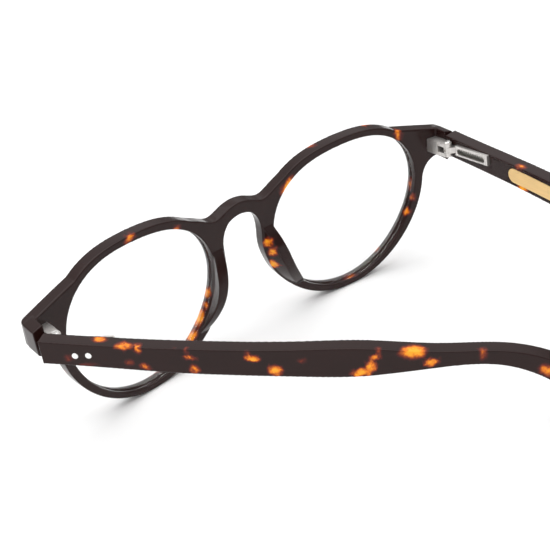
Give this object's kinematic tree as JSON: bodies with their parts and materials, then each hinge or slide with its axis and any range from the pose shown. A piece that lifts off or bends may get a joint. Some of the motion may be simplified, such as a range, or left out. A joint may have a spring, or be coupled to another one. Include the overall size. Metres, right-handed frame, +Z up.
{
  "type": "reading glasses",
  "caption": "Round full-rim acetate reading glasses with a keyhole bridge, bonded nose pads and temples on sprung hinges that fold.",
  "frame": {"origin": "on the table that the rims and temple tips stand on, under the middle of the bridge's front face", "axes": "+Z up, +X to the wearer's left, +Y back along the open temples"},
  "size_m": [0.138, 0.1526, 0.0477],
  "materials": {
    "acetate": "polished dark tortoiseshell cellulose acetate with amber patches",
    "pad_acetate": "polished tortoiseshell acetate, one amber patch",
    "temple_acetate": "polished dark tortoiseshell cellulose acetate with amber patches",
    "lens": "clear polished lens with a faint green coating",
    "hinge_steel": "nickel silver, lightly polished",
    "screw_steel": "polished steel",
    "spring_steel": "drawn spring wire",
    "rivet_steel": "polished flush with the temple",
    "core_steel": "nickel silver core",
    "plaque_gold": "pale gold, lightly brushed, blank"
  },
  "bodies": {
    "front": {"front_frame": "acetate", "nose_pad_left": "pad_acetate", "lens_left": "lens", "front_hinge_left": "hinge_steel", "hinge_screw_left": "screw_steel", "nose_pad_right": "pad_acetate", "lens_right": "lens", "front_hinge_right": "hinge_steel", "hinge_screw_right": "screw_steel"},
    "eye_left": {"hinge_eye_left": "hinge_steel", "spring_retainer_left": "hinge_steel"},
    "arm_left": {"temple_left": "temple_acetate", "hinge_housing_left": "hinge_steel", "flex_spring_left": "spring_steel", "temple_rivets_left": "rivet_steel", "core_wire_left": "core_steel", "temple_plaque_left": "plaque_gold"},
    "eye_right": {"hinge_eye_right": "hinge_steel", "spring_retainer_right": "hinge_steel"},
    "arm_right": {"temple_right": "temple_acetate", "hinge_housing_right": "hinge_steel", "flex_spring_right": "spring_steel", "temple_rivets_right": "rivet_steel", "core_wire_right": "core_steel", "temple_plaque_right": "plaque_gold"}
  },
  "joints": [
    {"name": "left_fold", "type": "hinge", "parent": "front", "child": "eye_left", "pos_m": [0.0635, 0.01747, 0.03531], "axis": [0, 0, 1], "range_deg": [-41, 45]},
    {"name": "right_fold", "type": "hinge", "parent": "front", "child": "eye_right", "pos_m": [-0.0635, 0.01747, 0.03531], "axis": [0, 0, -1], "range_deg": [0, 24]},
    {"name": "left_flex", "type": "slide", "parent": "eye_left", "child": "arm_left", "axis": [-0.6561, 0.7547, 0], "range_m": [0, 0.0018], "stiffness_N_per_m": 2000, "springref_m": -0.001, "deforming": ["flex_spring_left"]},
    {"name": "right_flex", "type": "slide", "parent": "eye_right", "child": "arm_right", "axis": [0, 1, 0], "range_m": [0, 0.0018], "stiffness_N_per_m": 2000, "springref_m": -0.001, "deforming": ["flex_spring_right"]}
  ]
}
